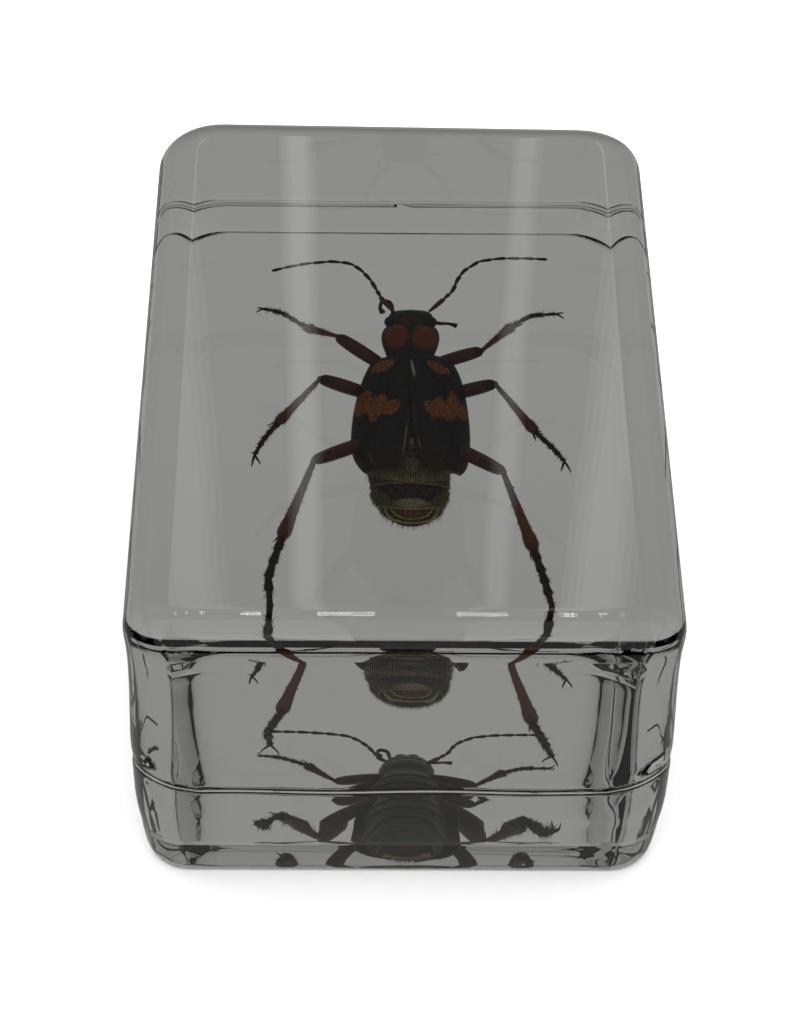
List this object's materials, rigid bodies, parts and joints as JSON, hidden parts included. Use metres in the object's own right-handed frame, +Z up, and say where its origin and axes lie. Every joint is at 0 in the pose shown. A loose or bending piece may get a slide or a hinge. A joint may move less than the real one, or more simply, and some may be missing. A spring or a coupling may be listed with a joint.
{
  "type": "insect in resin block",
  "caption": "Long-legged ground beetle sealed in a clear cast resin block with rounded edges and a flat base to stand on.",
  "frame": {"origin": "centre of the block's flat base", "axes": "+Y along the block's length, towards the beetle's head; +Z up, through the beetle's back"},
  "size_m": [0.0306, 0.044, 0.021],
  "materials": {
    "resin_lower": "water-clear casting resin with a faint grey tone, polished, see-through",
    "resin_upper": "water-clear casting resin with a faint grey tone, polished, see-through",
    "beetle": "dark horny shell, near black with orange patches and red-brown legs"
  },
  "bodies": {
    "root": {"resin_lower": "resin_lower", "resin_upper": "resin_upper", "beetle": "beetle"}
  },
  "joints": []
}
